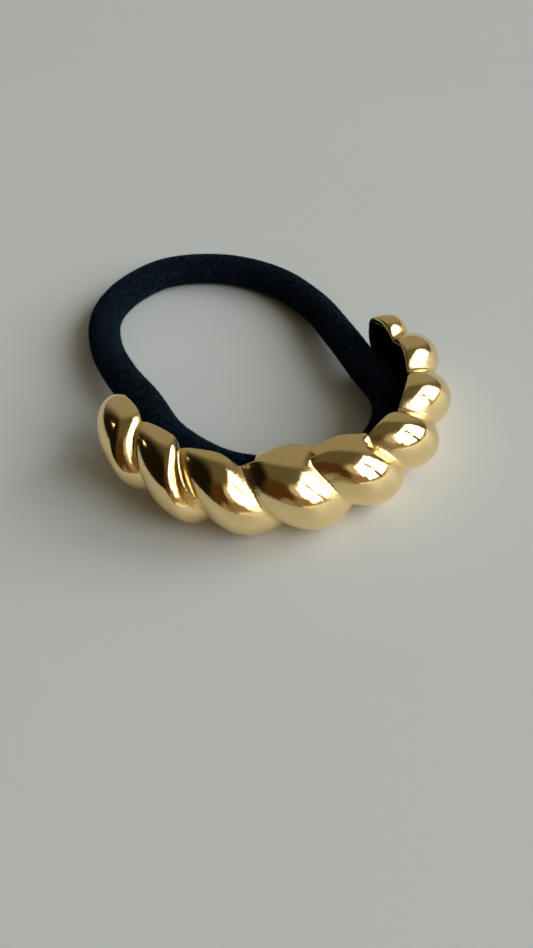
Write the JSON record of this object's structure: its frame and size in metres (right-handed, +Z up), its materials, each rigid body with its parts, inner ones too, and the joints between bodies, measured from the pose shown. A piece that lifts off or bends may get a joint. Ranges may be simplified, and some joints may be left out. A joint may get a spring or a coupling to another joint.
{
  "type": "hair tie with metal cuff",
  "caption": "Thick closed elastic loop threaded through an open metal cuff with slanting rope ridges, for gathering a ponytail.",
  "frame": {"origin": "on the surface it lies on, under the centre of its bounding box", "axes": "+Z up from the surface, the middle of the cuff faces -Y, the free bight of the elastic reaches towards +Y"},
  "size_m": [0.0548, 0.074, 0.0131],
  "materials": {
    "cuff": "polished gold",
    "elastic": "matt knitted tube"
  },
  "bodies": {
    "root": {"cuff": "cuff", "elastic": "elastic"}
  },
  "joints": []
}
